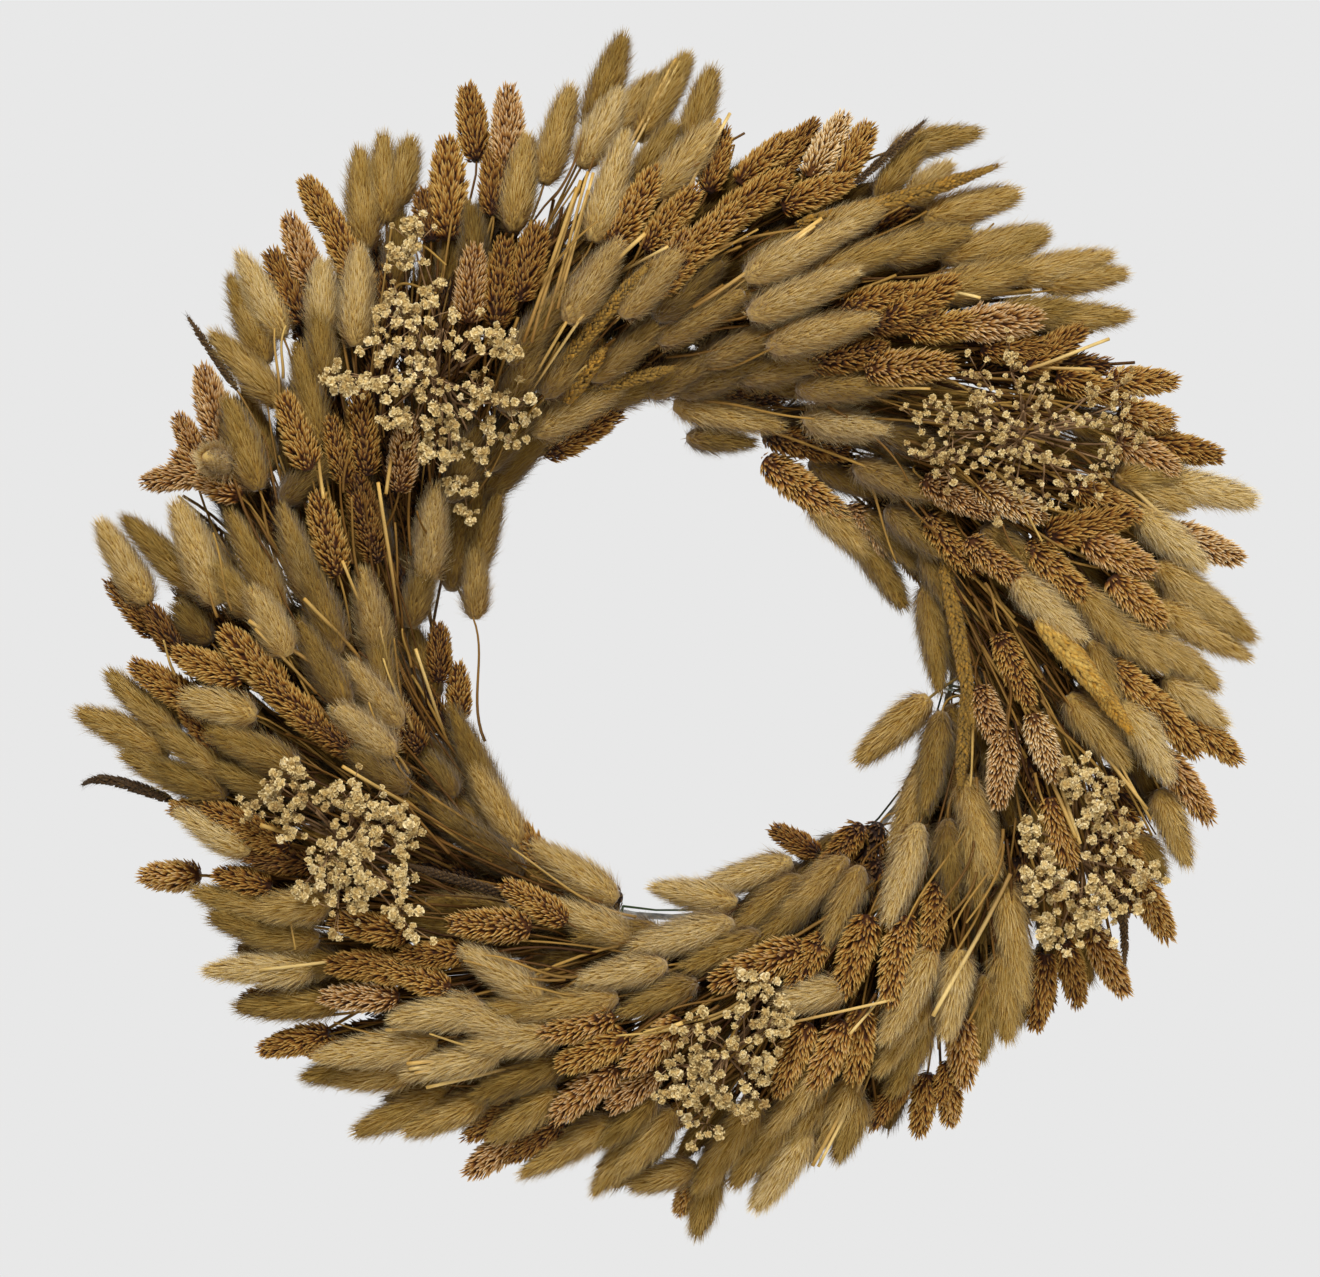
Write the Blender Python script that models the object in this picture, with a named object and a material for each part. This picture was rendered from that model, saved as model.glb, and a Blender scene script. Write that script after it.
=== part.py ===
"""Harvest door wreath: dried grass bunches wired on to a round steel frame.

The wreath hangs in the XZ plane and its front faces -Y. The origin is the
point of the hanging loop that bears on a door nail, so the ring's centre lies
below it. Angles are in degrees, counterclockwise from +X as seen from the
front. Lengths are in metres.
"""
import math

import bmesh
import bpy
from mathutils import Vector

# Steel frame: four round rails held together by bent cross braces
RAIL_RADII = {"inner": 0.122, "inner_middle": 0.134, "outer_middle": 0.146, "outer": 0.158}
RAISED_RAILS = ("inner_middle", "outer_middle")
RAISE = 0.014
RAIL_WIRE = 0.00135
RAIL_SEGMENTS = 48
BRACE_COUNT = 6
CLEARANCE = 0.0003

# Hanging loop, hinged on the outer rail
LOOP_WIRE = 0.0012
EYE_RADIUS = 0.0038
EYE_SPREAD = 0.020
LOOP_TOP_RADIUS = 0.009
LOOP_HEIGHT = 0.039

# Bunches of dried grass
BUNCH_COUNT = 16
PITCH = 360 / BUNCH_COUNT
FIRST_TIE = PITCH / 2
TIE_RADIUS = 0.140
HEADS_BEHIND_TIE = 8.0
SWIRL_LENGTH = 0.200
SIDE_GAP = 0.4
COLUMNS = 6
OPENING_RADIUS = 0.097
OPENING_SHIFT = (0.004, -0.010)
INNER_LOBE = 0.004
OUTER_VALLEY = 0.91
RIDGE = 0.0035
TIP_REACH = (0.232, 0.240, 0.250, 0.247, 0.247, 0.246, 0.256, 0.248,
             0.243, 0.238, 0.244, 0.230, 0.247, 0.243, 0.257, 0.237)

# Foliage section: radius, back depth and front depth, measured forward of the back rails
SECTION = (
    (None, 0.006, 0.022),
    (0.108, 0.006, 0.036),
    (0.113, 0.030, 0.046),
    (0.132, 0.030, 0.066),
    (0.148, 0.030, 0.077),
    (0.167, 0.030, 0.078),
    (0.173, 0.008, 0.077),
    (0.195, 0.008, 0.067),
    (0.218, 0.013, 0.051),
    (None, 0.017, 0.030),
)
NECK_ROW = 3
STEM_BACK = 0.0163
STEM_FRONT = 0.0268
STEM_TURN = 8.0

# Binding wire: two turns at each tie, round the frame and the stems
BINDING_WIRE = 0.0006
TURNS_PER_TIE = 2
TURN_ADVANCE = 0.9
TURN_PATH = (
    (0.1191, -0.0002), (0.1207, -0.0024), (0.1400, -0.0027), (0.1593, -0.0024),
    (0.1608, 0.0004), (0.1502, 0.0268), (0.1474, 0.0286), (0.1326, 0.0286), (0.1298, 0.0268),
)

# Flower sprays: bunch, first and last row of the section, height of the dome
SPRAYS = (
    ("upper_left", 10, 2, 6, 0.020),
    ("upper_right", 4, 4, 7, 0.018),
    ("lower_right", 1, 5, 8, 0.016),
    ("bottom", 15, 4, 7, 0.014),
    ("lower_left", 12, 3, 6, 0.016),
)

BASE_HEIGHT = LOOP_HEIGHT - LOOP_WIRE
EYE_HEIGHT = math.sqrt(RAIL_RADII["outer"] ** 2 - EYE_SPREAD ** 2)
CENTRE_Z = -(BASE_HEIGHT + EYE_HEIGHT)

COLOURS = {
    "galvanised_wire": ((0.42, 0.42, 0.41, 1), 0.42, 1.0),
    "binding_wire": ((0.10, 0.15, 0.08, 1), 0.45, 0.6),
    "bunny_tail_grass": ((0.40, 0.27, 0.12, 1), 0.90, 0.0),
    "canary_grass": ((0.26, 0.14, 0.06, 1), 0.85, 0.0),
    "dark_grass": ((0.05, 0.03, 0.01, 1), 0.85, 0.0),
    "cream_flowers": ((0.52, 0.40, 0.23, 1), 0.90, 0.0),
}


def clear_scene():
    for obj in list(bpy.data.objects):
        bpy.data.objects.remove(obj, do_unlink=True)


def material(name):
    found = bpy.data.materials.get(name)
    if found:
        return found
    colour, roughness, metallic = COLOURS[name]
    made = bpy.data.materials.new(name)
    made.use_nodes = True
    shader = made.node_tree.nodes["Principled BSDF"]
    shader.inputs["Base Color"].default_value = colour
    shader.inputs["Roughness"].default_value = roughness
    shader.inputs["Metallic"].default_value = metallic
    return made


def polar(radius, angle, depth):
    """Point of the ring: depth is how far it stands in front of the back rails."""
    turn = math.radians(angle)
    return Vector((radius * math.cos(turn), -depth, CENTRE_Z + radius * math.sin(turn)))


def add_object(name, bm, material_name, origin=(0, 0, 0)):
    bmesh.ops.recalc_face_normals(bm, faces=bm.faces)
    mesh = bpy.data.meshes.new(name)
    bm.to_mesh(mesh)
    bm.free()
    for vertex in mesh.vertices:
        vertex.co -= Vector(origin)
    mesh.materials.append(material(material_name))
    obj = bpy.data.objects.new(name, mesh)
    obj.location = origin
    bpy.context.collection.objects.link(obj)
    return obj


# ---------------------------------------------------------------- wires


def frames_along(points, closed):
    """Tangents and a side vector at each point, carried along without twist."""
    count = len(points)
    tangents = []
    for i in range(count):
        before = points[i - 1] if closed or i else points[0]
        after = points[(i + 1) % count] if closed or i < count - 1 else points[-1]
        tangents.append((after - before).normalized())
    side = tangents[0].orthogonal().normalized()
    frames = []
    for tangent in tangents:
        side = (side - tangent * side.dot(tangent)).normalized()
        frames.append((side, tangent.cross(side)))
    return frames


def tube(bm, points, radii, sides, closed=False):
    points = [Vector(p) for p in points]
    rings = []
    for point, (side, up), radius in zip(points, frames_along(points, closed), radii):
        ring = []
        for k in range(sides):
            turn = 2 * math.pi * k / sides
            ring.append(bm.verts.new(point + radius * (math.cos(turn) * side + math.sin(turn) * up)))
        rings.append(ring)
    pairs = list(zip(rings, rings[1:] + rings[:1])) if closed else list(zip(rings, rings[1:]))
    for a, b in pairs:
        for k in range(sides):
            n = (k + 1) % sides
            bm.faces.new((a[k], a[n], b[n], b[k]))
    if not closed:
        bm.faces.new(rings[0][::-1])
        bm.faces.new(rings[-1])


def ring_wire(name, radius, depth):
    """A rail: a wire circle whose section keeps one corner pointing outwards."""
    bm = bmesh.new()
    rings = []
    for i in range(RAIL_SEGMENTS):
        angle = 360 * i / RAIL_SEGMENTS
        ring = []
        for k in range(6):
            turn = math.pi * k / 3
            r = radius + RAIL_WIRE * math.cos(turn)
            ring.append(bm.verts.new(polar(r, angle, depth + RAIL_WIRE * math.sin(turn))))
        rings.append(ring)
    for a, b in zip(rings, rings[1:] + rings[:1]):
        for k in range(6):
            n = (k + 1) % 6
            bm.faces.new((a[k], a[n], b[n], b[k]))
    add_object(name, bm, "galvanised_wire")


def build_rails():
    for label, radius in RAIL_RADII.items():
        depth = RAISE if label in RAISED_RAILS else 0.0
        ring_wire(f"frame_rail_{label}", radius, depth)


def build_braces():
    """Each brace is bent to lie behind the raised rails and between the flat ones."""
    reach = 2 * RAIL_WIRE + CLEARANCE
    path = (
        (RAIL_RADII["inner"] + reach, -0.0002),
        (RAIL_RADII["inner_middle"] + 0.0004, RAISE - reach),
        (RAIL_RADII["outer_middle"] - 0.0004, RAISE - reach),
        (RAIL_RADII["outer"] - reach, -0.0002),
    )
    for i in range(BRACE_COUNT):
        angle = 360 * i / BRACE_COUNT
        bm = bmesh.new()
        points = [polar(radius, angle, depth) for radius, depth in path]
        tube(bm, points, [RAIL_WIRE] * len(points), 6)
        add_object(f"frame_brace_{i + 1}", bm, "galvanised_wire")


def loop_half():
    """One side of the loop, from its open eye up to the top, for positive X."""
    eye_z = -BASE_HEIGHT
    points = []
    for degrees in range(-280, 1, 35):
        turn = math.radians(degrees)
        points.append((EYE_SPREAD, EYE_RADIUS * math.cos(turn), eye_z + EYE_RADIUS * math.sin(turn)))
    arc_z = LOOP_WIRE - LOOP_TOP_RADIUS
    points.append((EYE_SPREAD - 0.0006, EYE_RADIUS - 0.0006, eye_z + 0.004))
    points.append((EYE_SPREAD - 0.0032, 0.0008, eye_z + 0.011))
    points.append((LOOP_TOP_RADIUS + 0.0030, 0.0, arc_z - 0.009))
    for degrees in range(0, 90, 22):
        turn = math.radians(degrees)
        points.append((LOOP_TOP_RADIUS * math.cos(turn), 0.0, arc_z + LOOP_TOP_RADIUS * math.sin(turn)))
    return points


def build_hanging_loop():
    right = loop_half()
    left = [(-x, y, z) for x, y, z in reversed(right)]
    path = right + left
    bm = bmesh.new()
    tube(bm, path, [LOOP_WIRE] * len(path), 8)
    add_object("hanging_loop", bm, "galvanised_wire", origin=(0, 0, -BASE_HEIGHT))


def build_binding_wire():
    """One wire, never cut: two turns at each tie, then along the inner rail to the next."""
    path = []
    for k in range(BUNCH_COUNT):
        tie = FIRST_TIE + PITCH * k
        for turn in range(TURNS_PER_TIE):
            for i, (radius, depth) in enumerate(TURN_PATH):
                advance = (turn - 1 + i / len(TURN_PATH)) * TURN_ADVANCE
                path.append(polar(radius, tie + advance, depth))
        run_radius, run_depth = TURN_PATH[0]
        path.append(polar(run_radius, tie + TURN_ADVANCE, run_depth))
        for i in range(1, 3):
            path.append(polar(run_radius, tie + TURN_ADVANCE + (PITCH - 2 * TURN_ADVANCE) * i / 3, run_depth))
    path = path[:-2]
    bm = bmesh.new()
    tube(bm, path, [BINDING_WIRE] * len(path), 4)
    add_object("binding_wire", bm, "binding_wire")


# ---------------------------------------------------------------- bunches


def swirl(radius):
    """How far, in degrees, the heads at a radius have turned clockwise of the tie."""
    return math.degrees(SWIRL_LENGTH * (1 / TIE_RADIUS - 1 / radius))


def opening_edge(angle):
    turn = math.radians(angle)
    return OPENING_RADIUS + OPENING_SHIFT[0] * math.cos(turn) + OPENING_SHIFT[1] * math.sin(turn)


def row_radius(bunch, column, row):
    if SECTION[row][0]:
        return SECTION[row][0]
    middle = column % 2 == 1
    edge_angle = FIRST_TIE + PITCH * (bunch - column / COLUMNS) - HEADS_BEHIND_TIE
    if row == 0:
        edge = opening_edge(edge_angle - swirl(OPENING_RADIUS))
        return edge - (INNER_LOBE if middle else 0)
    reach = TIP_REACH[bunch]
    if column == COLUMNS:
        reach = TIP_REACH[bunch - 1]
    return reach * (1 if middle else OUTER_VALLEY)


def lattice_point(bunch, column, row, front):
    """A corner of the bunch's section at one of its columns, on its front or back."""
    radius = row_radius(bunch, column, row)
    spread = (PITCH - SIDE_GAP) * column / COLUMNS
    angle = FIRST_TIE + PITCH * bunch - HEADS_BEHIND_TIE - spread - swirl(radius)
    back_depth, front_depth = SECTION[row][1:]
    if not front:
        return polar(radius, angle, back_depth)
    if column % 2 == 1:
        front_depth += RIDGE
    return polar(radius, angle, front_depth)


def sheet(bm, corners, flip=False):
    """Triangles over a grid of corners, always cut along the same diagonal."""
    for lower, upper in zip(corners, corners[1:]):
        for a, b, c, d in zip(lower, lower[1:], upper[1:], upper):
            for face in ((a, b, c), (a, c, d)):
                bm.faces.new(face[::-1] if flip else face)


def rim(bm, front, back):
    """Walls that join the edges of two grids of corners."""
    def edge(grid):
        right = [row[-1] for row in grid]
        left = [row[0] for row in grid]
        return grid[0][:-1] + right[:-1] + grid[-1][:0:-1] + left[:0:-1]
    top = edge(front)
    bottom = edge(back)
    for i in range(len(top)):
        n = (i + 1) % len(top)
        bm.faces.new((top[i], bottom[i], bottom[n], top[n]))


def add_stems(bm, back, bunch):
    """The stems: down from the heads on to the frame, then along it under the tie."""
    near = (back[NECK_ROW][0], back[NECK_ROW + 1][0])
    far = (back[NECK_ROW][1], back[NECK_ROW + 1][1])
    for face in list(bm.faces):
        if set(face.verts) <= set(near + far):
            bm.faces.remove(face)

    def dropped(vert, depth):
        return bm.verts.new((vert.co.x, -depth, vert.co.z))

    shoulder = [dropped(v, STEM_FRONT) for v in near]
    near_low = [dropped(v, STEM_BACK) for v in near]
    far_low = [dropped(v, STEM_BACK) for v in far]
    bm.faces.new((near[0], near[1], shoulder[1], shoulder[0]))
    bm.faces.new((far[1], far[0], far_low[0], far_low[1]))
    bm.faces.new((near_low[0], near_low[1], far_low[1], far_low[0]))
    bm.faces.new((near[0], shoulder[0], near_low[0], far_low[0], far[0]))
    bm.faces.new((near[1], far[1], far_low[1], near_low[1], shoulder[1]))
    ring = [shoulder[0], shoulder[1], near_low[1], near_low[0]]
    for step in (1, 2):
        turn = math.radians(STEM_TURN * step)
        turned = []
        for vert in (shoulder[0], shoulder[1], near_low[1], near_low[0]):
            x = vert.co.x
            z = vert.co.z - CENTRE_Z
            spun_x = x * math.cos(turn) - z * math.sin(turn)
            spun_z = x * math.sin(turn) + z * math.cos(turn)
            turned.append(bm.verts.new((spun_x, vert.co.y, CENTRE_Z + spun_z)))
        for i in range(4):
            n = (i + 1) % 4
            bm.faces.new((ring[i], ring[n], turned[n], turned[i]))
        ring = turned
    bm.faces.new(ring)


def build_bunches():
    for bunch in range(BUNCH_COUNT):
        bm = bmesh.new()
        grids = {}
        for front in (True, False):
            grids[front] = [
                [bm.verts.new(lattice_point(bunch, column, row, front)) for column in range(COLUMNS + 1)]
                for row in range(len(SECTION))
            ]
            sheet(bm, grids[front], flip=front)
        rim(bm, grids[True], grids[False])
        add_stems(bm, grids[False], bunch)
        kind = "bunny_tail_grass" if bunch % 3 else "canary_grass"
        add_object(f"grass_bunch_{bunch + 1:02d}", bm, kind)


def build_sprays():
    """A spray is a low dome that lies on the front of one bunch."""
    for label, bunch, first, last, height in SPRAYS:
        bm = bmesh.new()
        rows = range(first, last + 1)
        columns = range(COLUMNS + 1)
        back = []
        front = []
        for row in rows:
            back_row = []
            front_row = []
            for column in columns:
                inside = row not in (first, last) and column not in (0, COLUMNS)
                spot = lattice_point(bunch, column, row, True)
                back_row.append(bm.verts.new(spot - Vector((0, CLEARANCE, 0))))
                front_row.append(bm.verts.new(spot - Vector((0, height if inside else height / 3, 0))))
            back.append(back_row)
            front.append(front_row)
        sheet(bm, back)
        sheet(bm, front, flip=True)
        rim(bm, front, back)
        add_object(f"flower_spray_{label}", bm, "cream_flowers")


# ---------------------------------------------------------------- loose stems


def stem_and_head(name, material_name, stem, head, head_radius, stem_radius=0.0011, sides=6):
    """A thin stem along hand-set ring points, then a spindle-shaped head."""
    points = [polar(*spot) for spot in stem]
    radii = [stem_radius] * len(points)
    start = polar(*head[0])
    end = polar(*head[1])
    for share, width in ((0.0, 0.45), (0.15, 0.85), (0.4, 1.0), (0.7, 0.75), (1.0, 0.12)):
        points.append(start.lerp(end, share))
        radii.append(head_radius * width)
    bm = bmesh.new()
    tube(bm, points, radii, sides)
    add_object(name, bm, material_name)


def build_loose_stems():
    stem_and_head(
        "loose_canary_head", "canary_grass",
        stem=((0.172, 203, 0.004), (0.196, 205, 0.005), (0.214, 206.2, 0.006)),
        head=((0.217, 206.4, 0.0042), (0.250, 205.0, 0.0085)), head_radius=0.0062,
    )
    stem_and_head(
        "long_dark_spike", "dark_grass",
        stem=((0.170, 199, 0.003), (0.190, 198.0, 0.004), (0.208, 196.8, 0.005)),
        head=((0.212, 196.5, 0.005), (0.2605, 193.2, 0.005)), head_radius=0.0030,
    )
    stem_and_head(
        "upper_dark_spike", "dark_grass",
        stem=((0.172, 84, 0.004), (0.190, 79.5, 0.004), (0.205, 76.0, 0.005)),
        head=((0.208, 75.2, 0.005), (0.240, 66.5, 0.006)), head_radius=0.0030,
    )
    stem_and_head(
        "loose_bunny_tail", "bunny_tail_grass",
        stem=((0.1060, 6.0, 0.0420), (0.1045, -0.5, 0.0440), (0.1030, -7.5, 0.0465)),
        head=((0.1020, -11.5, 0.0480), (0.0945, -33.0, 0.0440)), head_radius=0.0075,
    )


def main():
    clear_scene()
    build_rails()
    build_braces()
    build_hanging_loop()
    build_binding_wire()
    build_bunches()
    build_sprays()
    build_loose_stems()


main()
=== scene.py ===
import math

import bpy
import numpy as np
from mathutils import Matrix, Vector


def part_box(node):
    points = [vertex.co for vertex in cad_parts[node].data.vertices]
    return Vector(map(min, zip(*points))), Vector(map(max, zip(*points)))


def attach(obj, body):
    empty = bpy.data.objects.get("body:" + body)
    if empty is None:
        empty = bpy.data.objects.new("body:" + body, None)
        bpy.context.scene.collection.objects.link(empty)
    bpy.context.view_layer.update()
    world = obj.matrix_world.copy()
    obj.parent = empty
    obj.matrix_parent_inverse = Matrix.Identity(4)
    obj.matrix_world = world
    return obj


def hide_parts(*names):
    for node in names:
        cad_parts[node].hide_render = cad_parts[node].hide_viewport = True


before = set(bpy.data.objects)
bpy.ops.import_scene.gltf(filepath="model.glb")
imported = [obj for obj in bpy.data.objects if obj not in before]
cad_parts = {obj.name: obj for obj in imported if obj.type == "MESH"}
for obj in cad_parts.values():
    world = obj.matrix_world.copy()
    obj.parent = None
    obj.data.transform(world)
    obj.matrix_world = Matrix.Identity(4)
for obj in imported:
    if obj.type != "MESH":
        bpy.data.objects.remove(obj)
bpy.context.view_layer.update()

MM = 0.001
GOLDEN = math.pi * (3 - math.sqrt(5))
RNG = np.random.default_rng(11)
HEAD_AXIS = np.array([0.0, 0.0, 1.0])  # a head's own axis, from base to tip

# ---------- places taken from the frame

RAIL_LOW, RAIL_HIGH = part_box("frame_rail_outer")
HUB = np.array([(RAIL_LOW.x + RAIL_HIGH.x) / 2, 0.0, (RAIL_LOW.z + RAIL_HIGH.z) / 2])
OPENING = HUB + np.array([4.0, 0.0, -10.0]) * MM  # the round opening between the heads

# The same bunches as the CAD solids: degrees counterclockwise from +X, millimetres
BUNCHES = 16
PITCH = 360 / BUNCHES
FIRST_TIE = PITCH / 2
HEADS_BEHIND_TIE = 8.0
TIE_RADIUS = 140.0
SWIRL_LENGTH = 200.0

# Height of the foliage in front of the back rails, by distance from the hub
SURFACE_RADII = (80, 95, 108, 113, 132, 148, 167, 173, 195, 218, 245, 262)
SURFACE_DEPTHS = (22, 27, 38, 47, 65, 75, 77, 76, 66, 51, 32, 22)

# The foliage stays in front of the frame, and outside it just in front of the back rails
LEAST_RADII = (112, 118, 162, 168)
LEAST_DEPTHS = (6.5, 17.5, 17.5, 6.5)

# How far a head leans clockwise of straight outwards, by distance from the opening's middle
LEAN_RADII = (90, 105, 130, 155, 185, 230, 250)
LEAN_ANGLES = (88, 75, 62, 51, 44, 34, 30)


def surface_depth(x, z):
    """How far in front of the back rails the foliage reaches at a place."""
    return np.interp(math.hypot(x, z), SURFACE_RADII, SURFACE_DEPTHS)


def least_depth(x, z):
    return float(np.interp(math.hypot(x, z), LEAST_RADII, LEAST_DEPTHS))


def flat_spot(clock, radius):
    """Place in the wreath's plane, in mm from the hub, of a clock angle round the opening."""
    turn = math.radians(clock)
    x = (OPENING[0] - HUB[0]) / MM + radius * math.sin(turn)
    z = (OPENING[2] - HUB[2]) / MM + radius * math.cos(turn)
    return np.array([x, z])


def heading(clock, lean):
    """The way a head points, flat in the wreath's plane."""
    turn = math.radians(clock + lean)
    return np.array([math.sin(turn), 0.0, math.cos(turn)])


def spot(clock, radius, lift=0.0):
    """A point on the foliage's front, lifted by so many mm."""
    x, z = flat_spot(clock, radius)
    return np.array([x, -(surface_depth(x, z) + lift), z])


def bunch_at(x, z):
    """Which bunch covers a place: the bunches sweep clockwise as they go outwards."""
    radius = max(math.hypot(x, z), 60.0)
    swirl = math.degrees(SWIRL_LENGTH * (1 / TIE_RADIUS - 1 / radius))
    angle = math.degrees(math.atan2(z, x)) + swirl + HEADS_BEHIND_TIE - FIRST_TIE
    return math.ceil(angle / PITCH) % BUNCHES


def tie_point(bunch, offset, radius, depth):
    """A point near a bunch's tie, so many degrees past it."""
    turn = math.radians(FIRST_TIE + PITCH * bunch + offset)
    return np.array([radius * math.cos(turn), -depth, radius * math.sin(turn)])


# ---------- the planting plan
# Each word is one head: its kind, clock angle round the opening and distance from its middle
# in mm, then perhaps *length, @lean or ^lift. Capitals are paler and stand further forward. The
# places were read from the photo and set one by one.

PLAN = """
b-2/238*48 b1.8/233@12 B.2/209 k3.8/211@8 c9.5/213 k12.5/222@20 P15.8/225@12 c18.6/225@10 c16/204@50
b26/246@50 o24/227@12 b27.5/227*30@20 f25.5/213*92@44 b32.5/228*50 b30/202 b36.8/219*52 b38.8/222*42@25
b38.3/203*46@28 b44/231*54 b46.6/236@28 b49.3/222*50 b45.5/208*40 k50.3/204*40@8 c58.9/228 c56.5/207@50
c3.3/176*44 c8.6/195*46 C43.3/194*42 c33.8/181*40@30 c38.6/179*42 k47/192 b21/197*34 C-1.5/184 C-2/165
B15.8/177*54 b23.5/182*46 B18/161*54 B22.8/149*54 c28.8/172*40 k33/170 C38/155*46 k28.6/145*44 b3/145*50
b1/155 b10/134*42 b19/130*46 b31/134*50 B35.3/121*46 o46/133*36 b50/117*46 p60/134*42 b8/121*52 b0/121
b62/113*42 B10.8/106*53@87 o10/95*34@90 k30/106*48 C36.6/89.5*54^-4 b50/88*40^-8 p56/98*36 b64/93*52 b61/103
c62.5/222*30 k67.2/231*46 C66.3/214*34@48 b68.5/209*30@15 B72.4/235*48@24 b71/212*34 p77.8/228*42
B76.3/213@50 b81/214*30 b83.3/221 b87.2/222*56@36 b84.9/227*48@42 o91/217*34 b89/204*32 b95/218*40
c98.6/228*40 c97.4/209*44@42 c104.2/221*44 b109/221*40@50 o113/217*26 c118/228*36 k114/207*34 C76.7/188
C82.6/193*36@50 c70/191*36@50 r72/179*44@8 b84.7/178*40@52 b88/191*40@40 c93.6/191*36@38 B99.8/199@44
b92/177*34@62 y92.5/170*62@48 y90/163*46@52 b100/177 C114.8/175*38@48 c77/161*42@54 B82.3/154@52
P64.5/152*38@52 c91.9/140*41@61 P103.8/156*36@56 p108.8/142*40@75 p100.6/131*33@62 b119.6/143*50@46
o71/145*32 c67/123*40@70 C73.2/138@62 f87/118*76@80 b112.5/115*50@80 b122/116*48@80 b85/108*52@84
f105/123*50@78 o74/115*40@80 c125.6/223@22 d121.4/220*34@56 k129/214@34 k133/208*40@52 b130.8/184*58@42
b136/197*46@44 b140/199*42@44 C144.4/204*38@36 k148.3/212*24@50 c149/222*22@35 k151.6/216*34@34
k155/208*34@58 b160.5/212*34@40 B169/221*48@46 b161/203*38@44 b165.5/203*38@44 b171/210*46@44
k172.8/217*20@40 b177.4/230*42@14 c179.6/231*18@20 b174.6/207*52@42 b182/221*34@72 B141/181*42@50
b149.6/184@62 b150/194*42@52 B146/170*50@58 c155.5/179*36@28 C159.6/178*38@46 c164.7/174*40@44
b165/191*46@48 c136/152@50 C144.7/155*46@50 c149.7/144*42@52 B159/151*36@98 c157.6/138*32@60 C166/133*50@86
b124/148@52 b127/141*40@56 B134/130*50@62 b147/125@60 b157/118@72 b161/111@72 b172/125*42@74 B178.4/117@76
k142.2/107*44@74 r148.5/92*30@150 B163/97@94^2 B177/101*42@102 b150/113@74 b187.3/216*40@32 b193/213*54@44
b184/205*40@40 k197/214@40 p200.3/224*40@36 k202/212*34@36 b207.4/219@40 b211.6/227*52@34 b216.3/221@42
o220/230*34@36 B218/210*58@44 c222.3/225*26@46 c225.3/232@32 b228.4/223*52@38 k230.6/226*34@30
B233.6/222*54@36 b238/215*42@44 b235/206*36@40 B237.4/194*36@30 o231/205*36@40 b201/189*46@50
B203.6/174*46@56 B209.8/196*48@46 B208.3/173@84 B214.6/181@50 P223.5/197@44 c226.2/186*36@48
C219.6/174*34@66 p192.6/187*42@38 p186.2/182*34@44 C184/163*38@44 C192.6/169*38@50 C196/160*38@60
b186.5/197*36@40 b199/204*40@40 b197.6/153@58 b203.6/160*38@64 B209.6/152@92 b184/143*40@62 B190.5/134*42@70
c220/162*34@48 C215.7/138*42@60^4 C211/120*37@92^8 c229.2/173*39@54 c222/176*34@50 b193.4/119*42@76
B199/118@96 B182/118*42@74 d225/132*52@64 o232/119*52@72 o226/116*44@74 B206.6/102*48@98 c219.6/103*36@104
B231/102@98 b243/99*56@94 b241.6/216*42@44 c243/208*30@40 B249.5/211*40@46 c250/201*34@44 c247/193*32@40
c252.6/217*26@30 b256/215*40@34 b257.7/226@34 b262.6/240*50@30 b264.9/231*46@44 b259/210*38@44
c267/219*42@34 k262/206*30@62 B264/195*36@20 C269/200*38@24 k273/220*30@52 k275.3/235*38@44 B279.7/241*46@48
o274/207*26@46 b281.5/225*52@36 B282.2/209*52@52 p289.7/228*36@-26 p291/215*42@10 p294/229*28@36
B293/213*26@0^8 b296/206*46@44 p298/225*44@42 d303/238*42@22 k243.4/190*34@30 b254/190*34@34 b258/183*46@40
C263.6/165*42@52 C269.6/180*42@50 B275/173*36@60 b278.6/190*32@44 b282.6/183*54@50 b285/167*48@54
b279.3/155*54@60 o295.5/175*34@110 C300.4/187@44 c301/169*34@44 r258/153*36@46 b269/151*48@64 C289/158*42@50
c292.6/144*40@50 c305.4/165*46@50 p306/145@62 b250/137*38@54 B257/137*38@54 B263.3/131*42@58 b270/128@86
B278.3/133*42@72 k257/122@70 b285/116*40@88 B296.2/119*50@72 o244/114*26@80 r271/104*30@84
c261.4/97*29@92^-2 b290/94*36@74^-6 o302/100*44@76 k296/150*34@50 b303.6/221*52@14 b308/234*48@30
B310.8/236*48@18 r313.2/230*42@22 p316.8/236*42@26 B315/215*36@38 c320.4/224*52@16 c321.3/248*32@12
b325.2/238*50@30 b328/240@26 b330.2/238*34@40 B318/204*46@44 k330/216*28@20 c333.5/222*54@26
k338.6/245*42@16 p341.7/236*46@22 k338.6/218*40@22 b341/212*48@24 b346.6/228*50@30 b352.6/246*52@26
B351.3/226*42@36 b354.6/235*40@36 b358/240*46@36 B351.4/200*54@28 b357/213*36@40 b305.2/192*48@46
b310.6/200*36@46 o333.4/196*36@26 p330.4/180@30 r334.2/175*42@36 c338.8/178*40@40 C354/190*46@44
c359/183*36@30 c359.6/164*36@46 b337/153*50@62 B346.7/162*46@48 f347.6/149*60@58 B355/158*42@46
b331/139*46@56 b339/134@60 f341/127*34@56 b349.6/132*46@66 B336.8/116*48@84 f348.6/120*48@82 o320/111*56@86
r336/106*46@82 b351/117@78 b322/120@76 b312/124*42@72
"""

# Places where light shows through between the heads, and how far round them stays clear, in mm
WINDOW_RADIUS = 17
WINDOWS = "358/217 344/197 336/228 305.4/206 147/202 7/215 351.5/222 158/228 98/226 281/187"
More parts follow.
